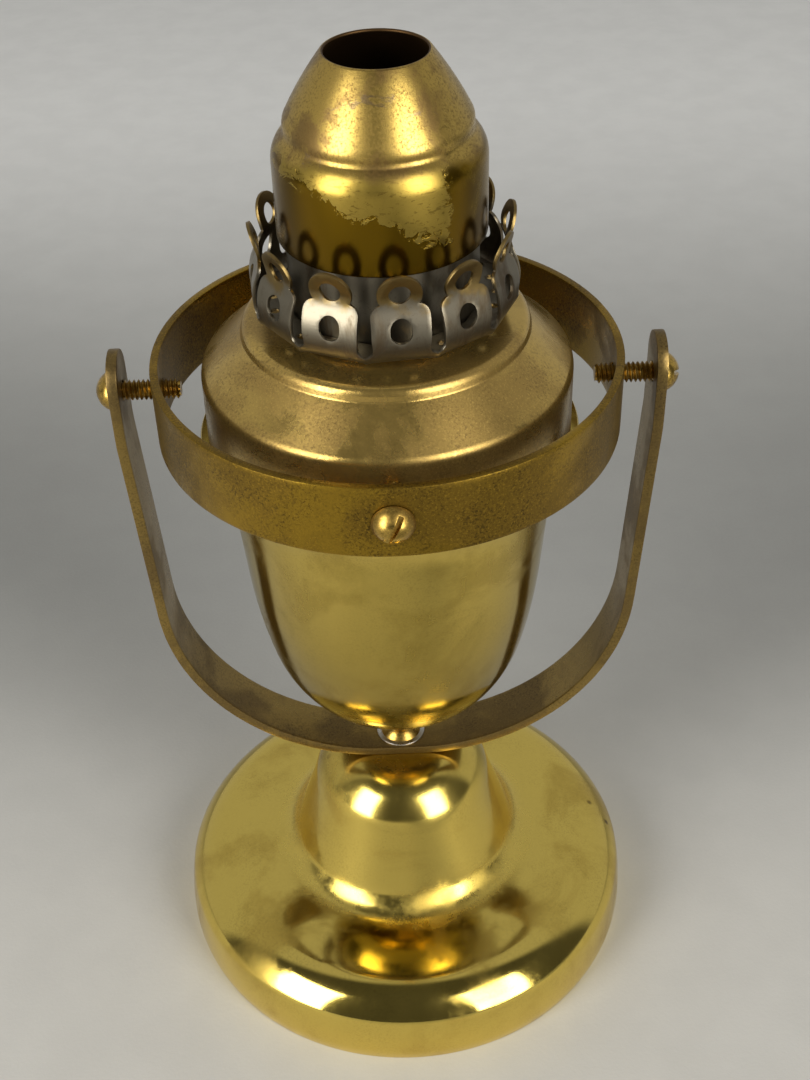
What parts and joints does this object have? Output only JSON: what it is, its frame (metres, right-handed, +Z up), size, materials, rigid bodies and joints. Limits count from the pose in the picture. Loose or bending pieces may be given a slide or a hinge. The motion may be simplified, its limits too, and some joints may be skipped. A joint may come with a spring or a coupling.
{
  "type": "ship lantern",
  "caption": "Gimballed brass oil lamp: weighted spun foot, U-shaped yoke, swinging ring and urn-shaped body, pronged chimney holder and bulged cap with a round flame hole.",
  "frame": {"origin": "floor point under the middle of the foot, at the bottom of the foot", "axes": "+Z up along the lamp, X along the yoke and its two pivot screws, -Y the front, where the slotted screw of the gimbal ring faces the viewer"},
  "size_m": [0.134, 0.126, 0.2539],
  "materials": {
    "polished_brass": "polished, lightly spotted",
    "satin_brass": "dull satin",
    "aged_brass": "tarnished satin with speckle",
    "screw_brass": "worn satin",
    "burner_brass": "dull, heat-stained",
    "nickel": "worn nickel plate on brass, brown stains",
    "steel": "plain",
    "iron": "rough",
    "felt": "felt",
    "cotton": "woven cotton, scorched at the top"
  },
  "bodies": {
    "stand": {"foot_shell": "polished_brass", "foot_ballast": "iron", "foot_felt": "felt", "yoke_strap": "satin_brass", "yoke_bolt": "satin_brass", "yoke_washer": "steel", "yoke_lock_washer": "steel", "yoke_nut": "satin_brass"},
    "ring": {"gimbal_ring": "aged_brass", "side_screw_left": "screw_brass", "side_screw_right": "screw_brass"},
    "lamp": {"urn_shell": "polished_brass", "urn_weight": "iron", "dome_cover": "aged_brass", "front_screw": "screw_brass", "back_screw": "screw_brass", "front_bush": "screw_brass", "back_bush": "screw_brass", "burner_collar": "aged_brass"},
    "burner": {"burner_base": "nickel", "crown": "nickel", "burner_drum": "nickel", "wick_tube": "burner_brass", "air_tube": "burner_brass", "spindle_bush": "burner_brass"},
    "raiser": {"wick_spindle": "burner_brass", "wick_wheel": "burner_brass", "wick_knob": "burner_brass"},
    "wick": {"wick": "cotton"},
    "cap": {"cap": "aged_brass"}
  },
  "joints": [
    {"name": "ring_tilt", "type": "hinge", "parent": "stand", "child": "ring", "pos_m": [0, 0, 0.176], "axis": [1, 0, 0], "range_deg": [-90, 90]},
    {"name": "lamp_swing", "type": "hinge", "parent": "ring", "child": "lamp", "pos_m": [0, 0, 0.176], "axis": [0, 1, 0], "range_deg": [-20, 20]},
    {"name": "burner_lift", "type": "slide", "parent": "lamp", "child": "burner", "axis": [0, 0, 1], "range_m": [0, 0.1]},
    {"name": "wick_turn", "type": "hinge", "parent": "burner", "child": "raiser", "pos_m": [0.01017, 0.0022, 0.2026], "axis": [-0.2116, 0.9774, 0], "range_deg": [-143, 95]},
    {"name": "wick_rise", "type": "slide", "parent": "burner", "child": "wick", "axis": [0, 0, 1], "range_m": [-0.006, 0.004]},
    {"name": "cap_lift", "type": "slide", "parent": "burner", "child": "cap", "axis": [0, 0, 1], "range_m": [0, 0.045]}
  ],
  "couplings": [
    {"joint": "wick_rise", "follows": "wick_turn", "m_per_rad": 0.0024}
  ]
}
